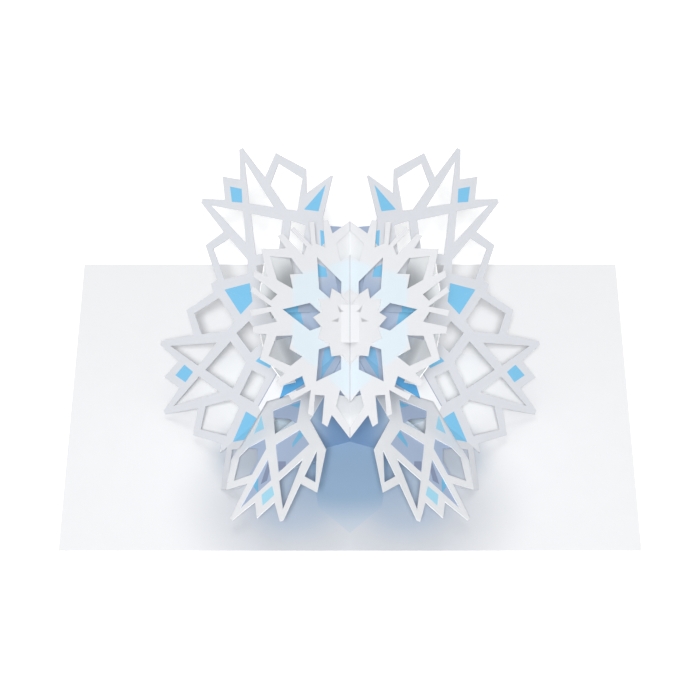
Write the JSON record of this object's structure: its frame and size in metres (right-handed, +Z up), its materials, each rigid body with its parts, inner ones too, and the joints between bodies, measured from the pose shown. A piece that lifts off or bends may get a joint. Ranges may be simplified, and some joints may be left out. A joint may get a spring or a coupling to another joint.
{
  "type": "pop up card",
  "caption": "Greeting card lying open, with a lattice paper snowflake in white and sky blue standing on its fold.",
  "frame": {"origin": "middle of the underside of the open card", "axes": "+X across the two leaves to the right, +Y along the fold from the front edge to the back edge, +Z up"},
  "size_m": [0.254, 0.1811, 0.114],
  "materials": {
    "card_board": "smooth white card",
    "lattice_paper": "matt white paper with sky blue print",
    "flake_paper": "matt white paper with pale blue print",
    "strap_paper": "matt pale grey blue paper",
    "support_paper": "matt blue grey paper"
  },
  "bodies": {
    "root": {"base_card": "card_board", "lattice_sheet_left": "lattice_paper", "lattice_sheet_right": "lattice_paper", "front_wing_left": "lattice_paper", "front_wing_right": "lattice_paper", "wing_lining_left": "support_paper", "wing_lining_right": "support_paper", "centre_flake": "flake_paper", "centre_star": "flake_paper", "strap_back_left": "strap_paper", "strap_back_right": "strap_paper", "strap_front_left": "strap_paper", "strap_front_right": "strap_paper", "strap_spine_back": "strap_paper", "strap_spine_front": "strap_paper", "back_web": "support_paper", "front_web": "support_paper", "rib_left_back": "support_paper", "rib_right_back": "support_paper"}
  },
  "joints": []
}
